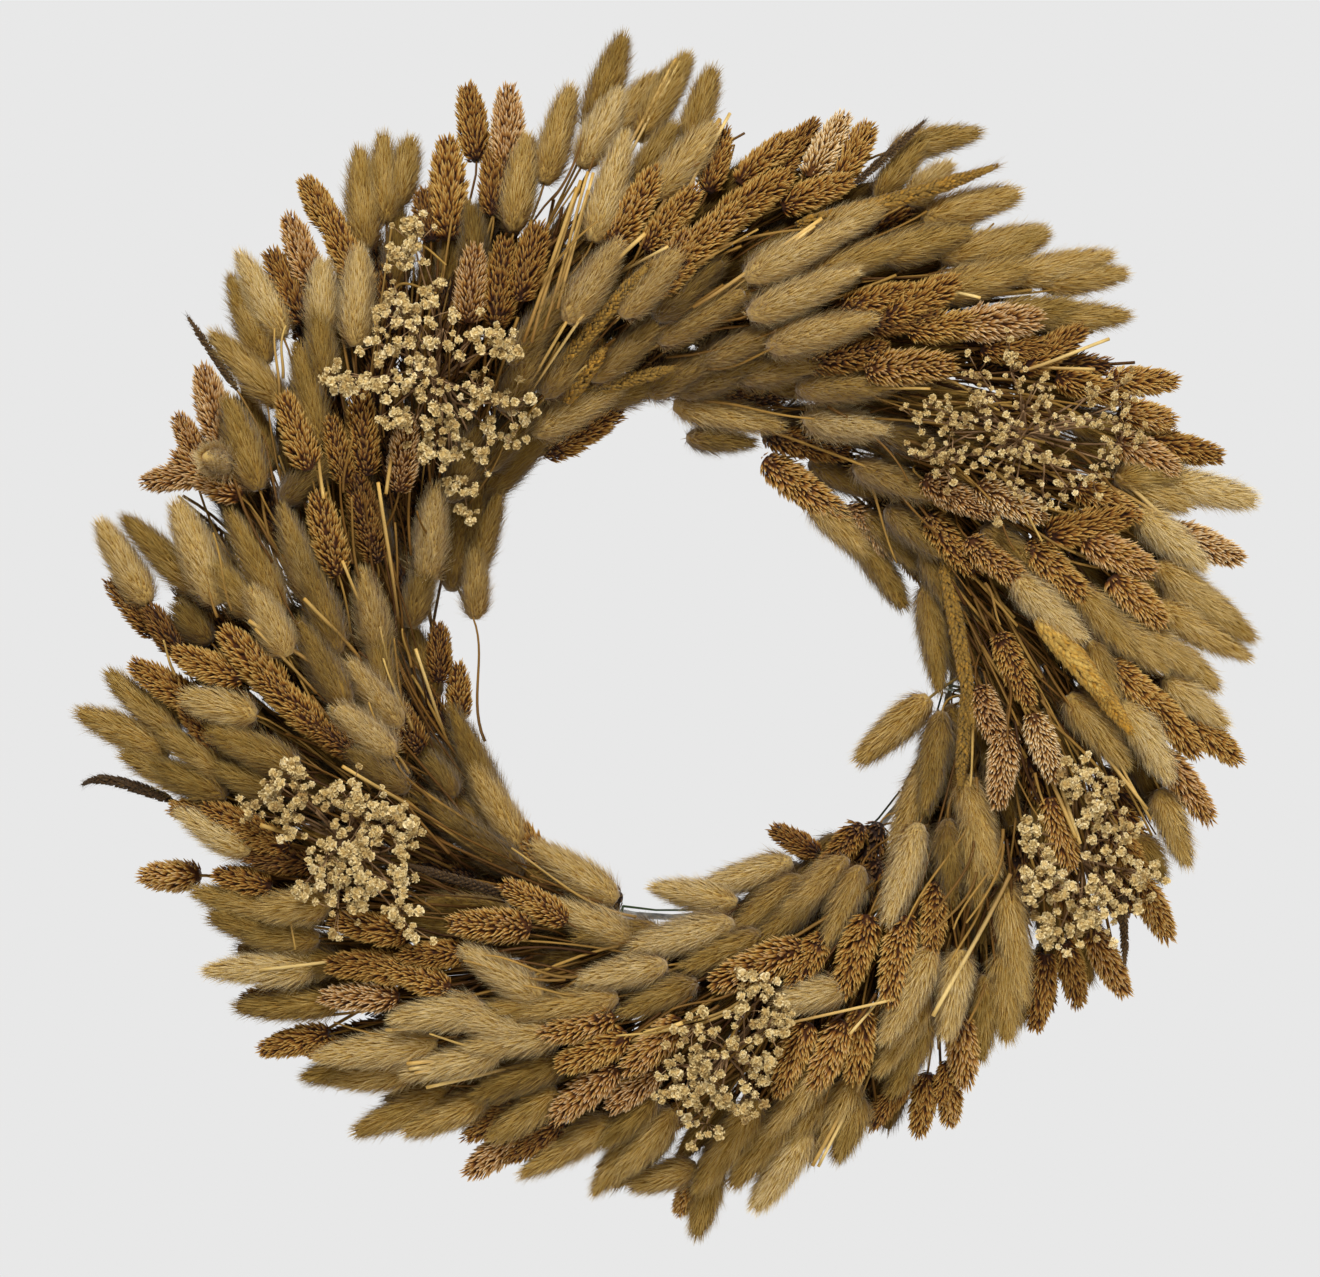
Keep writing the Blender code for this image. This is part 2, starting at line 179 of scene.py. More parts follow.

# Rings of heads behind the plan's, darkened as painted shade: distance from the opening's middle and
# distance under the foliage's front, in mm, and how many
FILLER_RINGS = (
    (108, 16, 30), (124, 20, 36), (142, 22, 40), (160, 22, 44), (178, 21, 48), (196, 18, 52), (210, 14, 50),
    (114, 32, 32), (130, 34, 36), (146, 36, 38), (162, 36, 42), (176, 38, 48), (190, 34, 50), (204, 26, 50),
)
FILLER_KINDS = "bobkckrbo"
LOOSE_FIBRES = 1600
STEMS_AT_TIE = 26

# These stand alone, each a piece of its own, as the long spike does
LOOSE = {
    "loose_canary_head": "C246.8/238*32@26^-12",
    "upper_dark_spike": "d22.5/232*44@30^2",
    "loose_bunny_tail": "b108.8/95*46@121^9",
}

# The long spike's run: clock angle, distance and lift of each point
LONG_SPIKE = ((250.5, 200, -18), (252.6, 213, -16), (254.1, 225, -14), (257.0, 241, -10), (258.2, 253, -8),
              (258.0, 263, -8))

# Cut straw: clock angle and distance of each end
STRAWS = """
8/161:17.6/193 9/160:17/189 -3/200:2.6/216 36/141:42.6/153 35/190:39.6/196 51/199:53.2/225 52/199:55/212
70/204:75.5/216 71/202:76/219 101/181:109/209 102/180:108/206 109/168:115/184 110/167:114.5/181
131/168:145/183 204/190:210.8/211 207.5/192:212.8/208 208.6/193:213.6/208 209.4/194:214.2/206.5
213.6/186:218.6/200 214.4/187:218/198 228/190:233.6/222 241/130:252.4/149 273/143:279/160 258/107:272/113
271/163:275/182 285/127:300/147 339/165:347.4/202 340/165:348/205 342/168:349/208 343/170:348.6/200
344/172:349.6/207 345/163:351/176 328/129:341/149 329/129:344/150 347/163:355/178 353/166:358/172
354.6/222:359.4/255 355.4/222:359.8/254 159/200:165/223 160/202:165.6/222 -1/198:4/228 2/205:5/231
298/172:294/164 268/162:274/179 160/160:148/168 150/165:156/172 186/160:180/152 280/138:286/148
304/148:299/142 316/184:318.6/195 246/181:248.5/190
"""

# Thin long stems that lie on the front: clock angle and distance of each end
STRANDS = """
5/123:17/137 5/110:29/116 40/111:66/100 30/123:52/121 46/115:64/120 46/132:63/145 58/151:72/158
76/131:84/134 93/136:104/140 108/155:112/163 100/125:114/132 60/143:72/146 66/150:75/170 2/165:10/182
5/172:17/188 112/133:140/145 120/155:133/162 118/152:135/160 137/187:142/195 150/162:156/172 168/144:190/160
170/145:186/157 170/140:182/147 200/143:216/156 198/140:214/150 196/146:206/152 190/111:222/108
198/109:215/112 230/128:243/131 247/125:256/131 240/122:250/128 262/122:276/128 247/91.5:281/91
268/115:276/119 284/140:296/154 286/144:298/162 296/158:304/166 290/112:299/128 312/116:330/124
306/112:320/118 334/124:342/130 322/196:326/184 326/208:329/192 236/196:233/204 268/214:272/219
283/132:297/150 262/120:274/122 255/118:270/126 245/127:262/133 126/152:140/156 122/144:136/150
128/160:139/170 339/168:349/186 344/200:349/222 346/196:350/214 303/202:309/221 305/205:310/218
275/196:282/208 276/190:285/204 62/186:70/196 43/160:52/168 174/146:184/156 356/196:2/208 206/182:214/190
"""

# Flower clusters by sprig: clock angle, distance and spread in mm
FLOWERS = {
    "upper_left": """310/180/10 313/170/11 311/160/9 316/183/9 312/150/9 318/160/10 316/150/9 322/178/11
    324/170/9 319/172/10 321/187/10 327/206/12 325/204/8 328/212/8 327/160/10 330/153/9 332/149/6
    322/137/10 326/130/9 320/126/8 325/120/8 309/135/10 310/128/6 315/122/8 307/119/7 314/140/8
    317/138/7 323/144/7 309/188/6 321/195/6 326/183/8 304/110/5""",
    "upper_right": """46/172/8 48/165/8 51/160/10 48/150/8 50/147/9 45/148/6 54/176/10 55/165/8 57/168/10
    58/160/9 54/138/10 51/137/8 50/130/6 57/185/8 60/170/8 62/176/7 66/176/7 66/188/9 65/196/8 62/158/7
    58/218/7 60/214/8 62/210/7 64/205/7 57/208/6 60/200/6 64/215/6 59/193/6 52/187/7 49/182/7 47/186/6
    66/165/6 44/140/6 56/150/8 67/142/4""",
    "lower_right": """106/187/8 108/180/9 106/171/8 109/172/7 110/190/9 113/195/9 111/200/7 116/205/10
    120/207/11 115/215/10 118/218/8 124/200/11 127/197/8 121/195/10 118/198/9 122/182/10 123/176/9
    118/165/8 120/173/8 116/161/7 123/208/8 126/190/6 112/183/7""",
    "bottom": """177/196/12 172/189/8 175/184/7 169/172/9 168/162/9 173/165/11 177/166/9 179/175/9 180/184/7
    166/158/8 178/153/9 170/150/8 167/140/9 165/143/6 176/178/7 181/170/7 182/181/6 171/178/7
    164/152/6""",
    "lower_left": """226/160/6 228/157/8 231/152/8 233/147/7 234/178/9 236/172/10 239/175/10 241/168/11
    238/163/10 235/158/8 240/158/11 243/150/11 246/153/11 248/150/9 245/145/10 240/143/10 237/137/9
    242/135/10 239/186/5 250/191/6 251/183/9 253/178/10 254/172/9 251/170/9 246/177/8 249/176/6
    233/165/7""",
}

# ---------- mesh helpers


class Batch:
    """Triangles gathered from many small shapes, in mm from the hub."""

    def __init__(self):
        self.points = []
        self.faces = []
        self.maps = []
        self.count = 0

    def add(self, points, faces, maps):
        self.points.append(points)
        self.faces.append(faces + self.count)
        self.maps.append(maps)
        self.count += len(points)

    def build(self, name, material, smooth):
        points = np.concatenate(self.points) * MM + HUB
        faces = np.concatenate(self.faces).astype(np.int32)
        maps = np.clip(np.concatenate(self.maps), 0.002, 0.998)
        mesh = bpy.data.meshes.new(name)
        mesh.vertices.add(len(points))
        mesh.vertices.foreach_set("co", points.astype(np.float32).ravel())
        mesh.loops.add(faces.size)
        mesh.loops.foreach_set("vertex_index", faces.ravel())
        mesh.polygons.add(len(faces))
        mesh.polygons.foreach_set("loop_start", np.arange(0, faces.size, 3, dtype=np.int32))
        mesh.polygons.foreach_set("use_smooth", np.full(len(faces), smooth))
        layer = mesh.uv_layers.new(name="OFBake")
        layer.data.foreach_set("uv", maps[faces.ravel()].astype(np.float32).ravel())
        mesh.update(calc_edges=True)
        mesh.validate()
        mesh.materials.append(material)
        obj = bpy.data.objects.new(name, mesh)
        bpy.context.scene.collection.objects.link(obj)
        return obj


def unit(vectors):
    return vectors / np.maximum(np.linalg.norm(vectors, axis=-1, keepdims=True), 1e-9)


def tube(path, radii, sides, tone):
    """A closed round tube along a path, its map's second axis running from root to tip, which the materials
    paint darker at the root as painted shade.
    """
    path = np.asarray(path, float)
    rings = len(path)
    tangents = unit(np.gradient(path, axis=0))
    turn = 2 * math.pi * np.arange(sides) / sides
    side = np.cross(tangents[0], (0.31, 0.87, 0.38))
    points = []
    for point, tangent, radius in zip(path, tangents, np.broadcast_to(radii, rings)):
        side = unit(side - tangent * side.dot(tangent))
        up = np.cross(tangent, side)
        points.append(point + radius * (np.outer(np.cos(turn), side) + np.outer(np.sin(turn), up)))
    points = np.concatenate([*points, path[:1], path[-1:]])
    corner = np.arange(sides)
    after = (corner + 1) % sides
    start = sides * np.arange(rings - 1)[:, None]
    a = (start + corner).ravel()
    b = (start + after).ravel()
    walls = np.stack([a, b, b + sides, a, b + sides, a + sides], 1)
    last = sides * (rings - 1)
    root = np.full(sides, sides * rings)
    caps = np.stack([root, after, corner, root + 1, last + corner, last + after], 1)
    faces = np.concatenate([walls, caps]).reshape(-1, 3)
    along = np.append(np.repeat(np.linspace(0, 1, rings), sides), (0, 1))
    return points, faces, np.stack([np.full(len(points), tone), along], 1)


def curve(start, start_pull, end, end_pull, count):
    """A smooth curve between two points, with a pull at each end."""
    t = np.linspace(0, 1, count)[:, None]
    a, b, c, d = start, start + start_pull, end - end_pull, end
    return (1 - t) ** 3 * a + 3 * (1 - t) ** 2 * t * b + 3 * (1 - t) * t ** 2 * c + t ** 3 * d


def hairs(root, direction, side, length, width, tone):
    """Thin hairs, each one long triangle, all made at once."""
    half = side * (width * 0.5)[:, None]
    points = np.stack([root - half, root + half, root + direction * length[:, None]], 1)
    # Maps run from 0 at the root to 1 at the tip: painted shade at the root, painted light at the tip
    return repeated(points, np.array([[0, 1, 2]]), tone[:, None], (0.0, 0.0, 1.0))


def repeated(points, pattern, tones, along):
    """Many copies of one small shape: its points by copy and corner, and the faces of one copy."""
    copies, corners = points.shape[:2]
    faces = corners * np.arange(copies)[:, None, None] + pattern
    maps = np.stack(np.broadcast_arrays(tones, np.tile(along, (copies, 1))), -1)
    return points.reshape(-1, 3), faces.reshape(-1, 3), maps.reshape(-1, 2)


def joined(parts):
    batch = Batch()
    for part in parts:
        batch.add(*part)
    return np.concatenate(batch.points), np.concatenate(batch.faces), np.concatenate(batch.maps)


# ---------- grass heads, each along +Z from its base

BUNNY_STEPS = (0, 0.04, 0.12, 0.25, 0.40, 0.60, 0.78, 0.92, 1)
BUNNY_BLUNT = np.array((0.34, 0.68, 0.90, 1.0, 1.0, 0.93, 0.78, 0.54, 0.26))
BUNNY_POINTED = np.array((0.30, 0.62, 0.88, 1.0, 0.97, 0.80, 0.56, 0.32, 0.12))
CANARY_STEPS = (0, 0.06, 0.16, 0.34, 0.55, 0.75, 0.90, 1)
CANARY_SHAPE = (0.42, 0.76, 0.95, 1.0, 0.97, 0.82, 0.56, 0.22)

# How far bunny tail hairs stand off the axis, in degrees, and their length as a share of USUAL_LENGTH
USUAL_LENGTH = 44
HAIR_STEPS = (0, 0.06, 0.2, 0.5, 0.9, 1)
HAIR_ANGLES = (92, 58, 25, 16, 12, 12)
HAIR_LENGTH_STEPS = (0, 0.15, 0.7, 1)
HAIR_LENGTHS = (0.09, 0.165, 0.150, 0.10)

# One keeled canary scale: along it, across it and above it, then its change of tone, a painted highlight
# along the keel and painted shade at the edges, and its map
SCALE_CORNERS = (
    (0, 0, 0, 0, 0),
    (0.36, -0.5, 0, -0.06, 0.34), (0.36, 0, 0.5, 0.09, 0.40), (0.36, 0.5, 0, -0.06, 0.34),
    (0.72, -0.32, 0.05, -0.04, 0.68), (0.72, 0, 0.44, 0.09, 0.76), (0.72, 0.32, 0.05, -0.04, 0.68),
    (1, 0, 0.42, 0.05, 1),
)
SCALE_FACES = np.array([(0, 2, 1), (0, 3, 2), (1, 5, 4), (1, 2, 5),
                        (2, 6, 5), (2, 3, 6), (4, 5, 7), (5, 6, 7)])
SCALE_WIDTH_OF_HEAD = 17

# One foxtail seed: two ends and four sides
SEED_FACES = np.array([(0, 2, 4), (0, 4, 3), (0, 3, 5), (0, 5, 2),
                       (1, 4, 2), (1, 3, 4), (1, 5, 3), (1, 2, 5)])


def spread_along(count, steps, shape, reach):
    """Places from base to tip, thicker parts of the head getting more of them."""
    fine = np.linspace(0, 1, 200)
    share = np.cumsum(np.interp(fine, steps, shape) + 0.08)
    share = (share - share[0]) / (share[-1] - share[0])
    return np.interp((np.arange(count) + 0.5) / count, share, fine) * reach


def outwards(turn):
    """Directions straight out from a head's axis, by the angle round it."""
    return np.stack([np.cos(turn), np.sin(turn), np.zeros(len(turn))], 1)


def core(length, width, steps, shape, share, tone, value):
    """The solid inside of a head, its tone wavering round it so that it is streaked. Its value is its place
    on the root-to-tip ramp, kept low for painted shade under the hairs or scales.
    """
    t = np.linspace(0.01, 0.97, 12)
    path = np.stack([np.zeros(12), np.zeros(12), t * length], 1)
    points, faces, maps = tube(path, share * width / 2 * np.interp(t, steps, shape), 12, tone)
    maps[:, 0] += RNG.uniform(-0.10, 0.10, len(maps))
    # Painted shade: the whole inside sits at one low place on the root-to-tip ramp
    maps[:, 1] = value
    return points, faces, maps


def bunny_tail(length, width, tone, count):
    """An egg of soft hairs: they stand out at the round base and close up to the tip."""
    pointed = RNG.uniform(0, 1)
    shape = BUNNY_BLUNT * (1 - pointed) + BUNNY_POINTED * pointed
    t = spread_along(count, BUNNY_STEPS, shape, 0.98)
    turn = GOLDEN * np.arange(count) + RNG.normal(0, 0.25, count)
    out = outwards(turn)
    stand = np.interp(t, HAIR_STEPS, HAIR_ANGLES)
    stand += np.where(RNG.uniform(0, 1, count) < 0.22, RNG.uniform(6, 26, count), 0)
    lean = np.radians(stand + RNG.normal(0, 6, count))
    direction = np.cos(lean)[:, None] * HEAD_AXIS + np.sin(lean)[:, None] * out
    around = np.cross(HEAD_AXIS, out)
    direction = unit(direction + around * RNG.normal(0, 0.12, count)[:, None])
    depth = RNG.uniform(0.72, 0.84, count)
    root = out * (depth * width / 2 * np.interp(t, BUNNY_STEPS, shape))[:, None]
    root[:, 2] = t * length
    reach = USUAL_LENGTH * np.interp(t, HAIR_LENGTH_STEPS, HAIR_LENGTHS) * RNG.uniform(0.65, 1.25, count)
    side = unit(around + out * RNG.normal(0, 0.30, count)[:, None])
    clump = 0.04 * np.sin(5 * turn + 9 * t) + 0.04 * np.sin(2 * turn - 13 * t)
    tones = tone + 0.10 * (0.4 - t) + clump + RNG.normal(0, 0.05, count)
    fur = hairs(root, direction, side, reach, RNG.uniform(0.26, 0.44, count), tones)
    # A slightly darker inside: painted shade under the hairs
    inside = core(length, width, BUNNY_STEPS, shape, 0.78, tone - 0.03, 0.42)
    return joined([inside, fur])


def canary_head(length, width, tone, scales):
    """A cone of keeled pointed scales in pairs, wound round a spindle."""
    t = np.repeat(spread_along(scales, CANARY_STEPS, CANARY_SHAPE, 0.96) + RNG.normal(0, 0.012, scales), 2)
    count = len(t)
    pair = np.tile([-1.0, 1.0], scales)
    turn = GOLDEN * np.repeat(np.arange(scales) + RNG.normal(0, 0.05, scales), 2)
    turn += pair * 0.13 + RNG.normal(0, 0.09, count)
    out = outwards(turn)
    around = np.cross(HEAD_AXIS, out)
    lean = np.radians(np.interp(t, (0, 0.12, 0.4, 0.75, 1), (62, 38, 27, 21, 8)) + RNG.normal(0, 5, count))
    direction = np.cos(lean)[:, None] * HEAD_AXIS + np.sin(lean)[:, None] * out
    direction = unit(direction + around * (pair * 0.15 + RNG.normal(0, 0.12, count))[:, None])
    normal = unit(np.cross(direction, around))
    normal *= np.sign(np.sum(normal * out, 1, keepdims=True) + 1e-9)
    side = np.cross(normal, direction)
    root = out * (0.55 * width / 2 * np.interp(t, CANARY_STEPS, CANARY_SHAPE))[:, None]
    root[:, 2] = t * length
    share = width / SCALE_WIDTH_OF_HEAD
    size = share * np.interp(t, (0, 0.2, 0.6, 1), (3.8, 5.2, 5.0, 4.0)) * RNG.uniform(0.8, 1.3, count)
    wide = share * np.interp(t, (0, 0.3, 1), (1.1, 1.35, 0.95)) * RNG.uniform(0.85, 1.15, count)

    def place(along, across, above):
        return (root + direction * (size * along)[:, None] + side * (wide * across)[:, None]
                + normal * (wide * above)[:, None])

    points = np.stack([place(*corner[:3]) for corner in SCALE_CORNERS], 1)
    # Painted highlight along each keel and painted shade at its edges
    keel_highlight_edge_shade = np.array([corner[3] for corner in SCALE_CORNERS])
    tones = (tone + RNG.normal(0, 0.07, count))[:, None] + keel_highlight_edge_shade
    cone = repeated(points, SCALE_FACES, tones, [corner[4] for corner in SCALE_CORNERS])
    # A darker inside, low on the ramp: painted shade between the scales
    inside = core(length, width, CANARY_STEPS, CANARY_SHAPE, 0.58, tone - 0.1, 0.10)
    return joined([inside, cone])


def foxtail(length, width, tone, seeds):
    """A long thin spike of small round seeds with a bristle beside each."""
    t = (np.arange(seeds) + 0.5) / seeds
    turn = GOLDEN * np.arange(seeds) + RNG.normal(0, 0.2, seeds)
    out = outwards(turn)
    reach = width / 2 * np.interp(t, (0, 0.06, 0.3, 0.75, 1), (0.5, 0.85, 1, 0.85, 0.3))
    centre = out * (reach * 0.62)[:, None]
    centre[:, 2] = t * length
    around = np.cross(HEAD_AXIS, out)
    long_way = unit(HEAD_AXIS * 0.8 + out * 0.6)
    thick = np.cross(long_way, around)
    size = reach * RNG.uniform(0.45, 0.65, seeds)
    corners = (long_way * 1.3, -long_way * 0.9, around * 0.62, -around * 0.62, thick * 0.62, -thick * 0.62)
    points = np.stack([centre + corner * size[:, None] for corner in corners], 1)
    tones = (tone + RNG.normal(0, 0.07, seeds))[:, None]
    # Each seed's map runs from its back end to its tip: painted shade behind, painted light at the tip
    grains = repeated(points, SEED_FACES, tones, (1.0, 0.1, 0.5, 0.5, 0.5, 0.5))
    lean = unit(HEAD_AXIS * 0.86 + out * 0.5 + around * RNG.normal(0, 0.12, seeds)[:, None])
    bristle = width * RNG.uniform(0.55, 1.0, seeds)
    beard = hairs(centre, lean, around, bristle, np.full(seeds, 0.24), np.full(seeds, tone + 0.1))
    path = np.stack([np.zeros(8), np.zeros(8), np.linspace(0, 0.97 * length, 8)], 1)
    rod = tube(path, width * 0.2, 6, tone - 0.1)
    return joined([rod, grains, beard])


# species: maker, the share of a length that is its solid, the mm of hairs or tips past that, how its
# width grows with its length, and how far its tone varies
SPECIES = {
    "bunny_tails": (bunny_tail, 1.0, 4.0, 0.35, 0.085),
    "canary_grass": (canary_head, 0.87, 1.0, 0.4, 0.05),
    "foxtails": (foxtail, 1.0, 1.0, 0.0, 0.05),
    "dark_spikes": (foxtail, 1.0, 1.0, 0.0, 0.05),
}
FULL_CANARY = 34  # mm, the solid's length in a canary head of full width

# kind: species, length, width, tone, count of hairs, scales or seeds, and how far forward it stands.
# Lengths are in mm and take in the hairs and scale tips. A tone is 0 for dark and 1 for pale.
KINDS = {
    "b": ("bunny_tails", 44, 16.6, 0.50, 2300, 0),
    "B": ("bunny_tails", 44, 17.2, 0.90, 2500, 4),
    "o": ("bunny_tails", 38, 15.5, 0.30, 1800, -5),
    "c": ("canary_grass", 38, 16.4, 0.36, 310, 0),
    "C": ("canary_grass", 40, 17.4, 0.52, 320, 3),
    "p": ("canary_grass", 38, 16.2, 0.70, 310, 1),
    "P": ("canary_grass", 40, 16.8, 0.82, 315, 3),
    "r": ("canary_grass", 38, 16.2, 0.22, 310, 0),
    "k": ("canary_grass", 36, 15.8, 0.17, 300, -3),
    "f": ("foxtails", 70, 7.5, 0.42, 420, 3),
    "y": ("foxtails", 60, 9.5, 0.72, 420, 4),
    "d": ("dark_spikes", 40, 4.4, 0.50, 170, 0),
}


def read_word(word):
    """Kind, clock angle, distance, length, lean and lift of one word of the plan."""
    kind = word[0]
    rest = word[1:]
    values = {}
    for mark in "^@*":
        if mark in rest:
            rest, value = rest.split(mark)
            values[mark] = float(value)
    clock, radius = (float(v) for v in rest.split("/"))
    return kind, clock, radius, values.get("*"), values.get("@"), values.get("^", 0.0)


def ends_of(words):
    for word in words.split():
        ends = [[float(v) for v in end.split("/")] for end in word.split(":")]
        yield ends[0], ends[1]


batches = {}


def batch_for(bunch, species):
    return batches.setdefault((bunch, species), Batch())


def oriented(shape, base, axis, bow):
    """The head's points in place: its base, its axis and a slight bow sideways."""
    points, faces, maps = shape
    side = unit(np.cross(axis, RNG.normal(0, 1, 3)))
    up = np.cross(axis, side)
    length = points[:, 2].max()
    bent = points.copy()
    bent[:, 0] += bow * (points[:, 2] / length) ** 2
    placed = base + bent[:, :1] * side + bent[:, 1:2] * up + bent[:, 2:] * axis
    return placed, faces, maps


def stem_to(base, axis, bunch, tone):
    """A stem from the tie, round the ring under the other heads, up to a head's base."""
    start = tie_point(bunch, RNG.uniform(-1.5, 3.0), RNG.uniform(133, 147), RNG.uniform(18, 26))
    turns = [math.atan2(p[2], p[0]) for p in (start, base)]
    sweep = (turns[1] - turns[0] + math.pi) % (2 * math.pi) - math.pi
    turn = turns[0] + sweep * 0.5
    radius = 0.85 * math.hypot(start[0], start[2]) + 0.15 * math.hypot(base[0], base[2])
    halfway = np.array([radius * math.cos(turn), (start[1] + base[1]) / 2, radius * math.sin(turn)])
    run = np.interp(math.hypot(base[0], base[2]), (98, 126), (5, 20))
    if np.dot(base - start, axis) < 0:
        run = 2.0  # or the stem would bend back on itself, as its tie is ahead of the base
    path = curve(start, (halfway - start) * 1.15, base + axis * 1.5, axis * run, 11)
    return tube(path, np.linspace(0.75, 0.5, 11), 4, tone)


def short_stem(base, axis, tone):
    """A stem that only dips back into the foliage behind a loose head."""
    root = base - axis * 42 + np.array([base[0], 0, base[2]]) * 0.08 + np.array([0, 16, 0])
    return tube(curve(root, axis * 14, base + axis * 1.5, axis * 14, 10), 0.7, 5, tone)


HALF_SPAN = 12  # mm before and behind a head's middle at which the foliage's front is compared
END_ON_RISE = 2.4  # a pale bunny tail with lean 0 points at the viewer
PAINTED_LIGHT_BEYOND = 188  # mm from the opening's middle, beyond which heads are painted paler as painted light on the outer rim


def slope_at(x, z, way):
    """How steeply the foliage's front rises along a head that points this way."""
    ahead = surface_depth(x + HALF_SPAN * way[0], z + HALF_SPAN * way[2])
    behind = surface_depth(x - HALF_SPAN * way[0], z - HALF_SPAN * way[2])
    return math.tan(math.radians(9)) + 0.75 * (ahead - behind) / (2 * HALF_SPAN)


def plant(kind, clock, radius, length=None, lean=None, lift=0.0, sink=0.0, detail=1.0, painted_shade=0.0, into=None):
    """One head and its stem, in its bunch's batches or in one of its own. Its shade argument is painted
    shade, darkening a head that lies under others.
    """
    species, usual, width, tone, count, forward = KINDS[kind]
    maker, share, tips, growth, variety = SPECIES[species]
    length = (length or usual) * share - tips
    lean = np.interp(radius, LEAN_RADII, LEAN_ANGLES) if lean is None else lean
    way = heading(clock, lean + RNG.normal(0, 2.5))
    x, z = flat_spot(clock, radius)
    rise = END_ON_RISE if kind == "B" and lean == 0 else slope_at(x, z, way)
    axis = unit(way - (0, rise, 0))
    depth = surface_depth(x, z) - width / 2 - 2.5 + forward + lift - sink
    depth = max(depth + RNG.uniform(-2.0, 2.0), least_depth(x, z) + width / 2)
    base = np.array([x, -depth, z]) - axis * length / 2
    full = FULL_CANARY if species == "canary_grass" else usual
    wide = width * RNG.uniform(0.88, 1.07) * (length / full) ** growth
    # Painted light: 0.0004 * x makes heads lighter towards +X, the right, where more light falls
    colour = tone - painted_shade + RNG.normal(0, variety) + 0.0004 * x
    # Painted light: heads on the outer rim are painted paler
    colour += 0.0022 * max(radius - PAINTED_LIGHT_BEYOND, 0)
    shape = maker(length, wide, colour, int(count * detail * (length / usual) ** 0.7))
    bunch = bunch_at(x, z)
    bow = RNG.normal(0, 1.6) * length / USUAL_LENGTH
    head = into or batch_for(bunch, species)
    head.add(*oriented(shape, base, axis, bow))
    if into:
        head.add(*short_stem(base, axis, 0.3))
    else:
        batch_for(bunch, "stems").add(*stem_to(base, axis, bunch, RNG.uniform(0.1, 0.6)))


def plant_plan():
    for word in PLAN.split():
        plant(*read_word(word))


PLACES = [read_word(word)[1:3] for word in PLAN.split()]
WINDOW_SPOTS = [flat_spot(*map(float, word.split("/"))) for word in WINDOWS.split()]


def smooth_run(points, count):
    """A smooth run through a few points."""
    points = np.asarray(points)
    fine = np.linspace(0, len(points) - 1, count)
    coarse = np.arange(len(points))
    fit = [np.polyfit(coarse, points[:, k], min(3, len(points) - 1)) for k in range(3)]
    return np.stack([np.polyval(f, fine) for f in fit], 1)


def spike_along(path, width, tone):
    """A foxtail bent along a path."""
    steps = np.linalg.norm(np.diff(path, axis=0), axis=1)
    reach = np.concatenate([[0], np.cumsum(steps)])
    points, faces, maps = foxtail(reach[-1], width, tone, int(reach[-1] * 5))
    level = np.clip(points[:, 2], 0, reach[-1])
    centre = np.stack([np.interp(level, reach, path[:, k]) for k in range(3)], 1)
    side = unit(np.cross(path[-1] - path[0], (0, 1, 0)))
    up = np.cross(unit(path[-1] - path[0]), side)
    return centre + points[:, :1] * side + points[:, 1:2] * up, faces, maps


def add_loose_pieces():
    """The heads that are pieces of their own."""
    for node, word in LOOSE.items():
        batch = Batch()
        plant(*read_word(word), into=batch)
        finish_piece(batch, f"{node}_plant", KINDS[word[0]][0], node)
    batch = Batch()
    path = smooth_run([spot(*place) for place in LONG_SPIKE], 24)
    batch.add(*tube(path[:12], 0.7, 6, 0.3))
    batch.add(*spike_along(path[9:], 5.6, 0.42))
    finish_piece(batch, "long_dark_spike_plant", "dark_spikes", "long_dark_spike")


def in_window(clock, radius):
    """Whether a place is kept clear, so that light shows through."""
    x, z = flat_spot(clock, radius)
    return any(math.hypot(x - a, z - b) < WINDOW_RADIUS for a, b in WINDOW_SPOTS)


def plan_limits(clock):
    """The nearest and furthest planned head round a clock angle."""
    near = [radius for other, radius in PLACES if abs((other - clock + 180) % 360 - 180) < 6]
    return min(near), max(near)


def in_opening(place):
    """Whether a place is nearer the opening's middle than the heads there."""
    across, _, up = place - (OPENING - HUB) / MM
    nearest, _ = plan_limits(math.degrees(math.atan2(across, up)))
    return math.hypot(across, up) < nearest + 3


def plant_fillers():
    """Heads under the front ones, darkened as painted shade."""
    for ring, under, count in FILLER_RINGS:
        for i in range(count):
            clock = 360 * (i + RNG.uniform(0.2, 0.8)) / count
            nearest, furthest = plan_limits(clock)
            radius = np.clip(ring + RNG.uniform(-6, 6), nearest + 8, furthest - 14)
            if in_window(clock, radius):
                continue
            kind = FILLER_KINDS[RNG.integers(len(FILLER_KINDS))]
            plant(kind, clock, radius, sink=under + RNG.uniform(-2, 4), detail=0.5, painted_shade=0.20)


def add_straws():
    """Cut straws that lie among the heads, their back ends hidden."""
    for start, end in ends_of(STRAWS):
        a = spot(start[0], start[1], RNG.uniform(-4, 0))
        b = spot(end[0], end[1], RNG.uniform(0, 4))
        way = b - a
        a = a - way * 0.5 + np.array([0, 8.0, 0])
        bow = RNG.normal(0, 0.03, 3) * np.linalg.norm(way)
        path = curve(a, way * 0.5 + bow, b, way * 0.5, 8)
        straw = tube(path, RNG.uniform(0.6, 0.95), 8, RNG.uniform(0.2, 0.85))
        batch_for(bunch_at(b[0], b[2]), "straws").add(*straw)


def add_strands():
    """Thin stems that lie on the heads and follow the swirl."""
    for start, end in ends_of(STRANDS):
        a = spot(start[0], start[1], -4)
        b = spot(end[0], end[1], 0.5)
        way = heading(start[0], 88 if start[1] < 130 else 60)
        span = np.linalg.norm(b - a)
        path = curve(a, way * span * 0.35, b, (b - a) * 0.35 + RNG.normal(0, 0.06, 3) * span, 14)
        stem = tube(path, np.linspace(0.75, 0.45, 14), 5, RNG.uniform(0.3, 0.9))
        batch_for(bunch_at(b[0], b[2]), "stems").add(*stem)


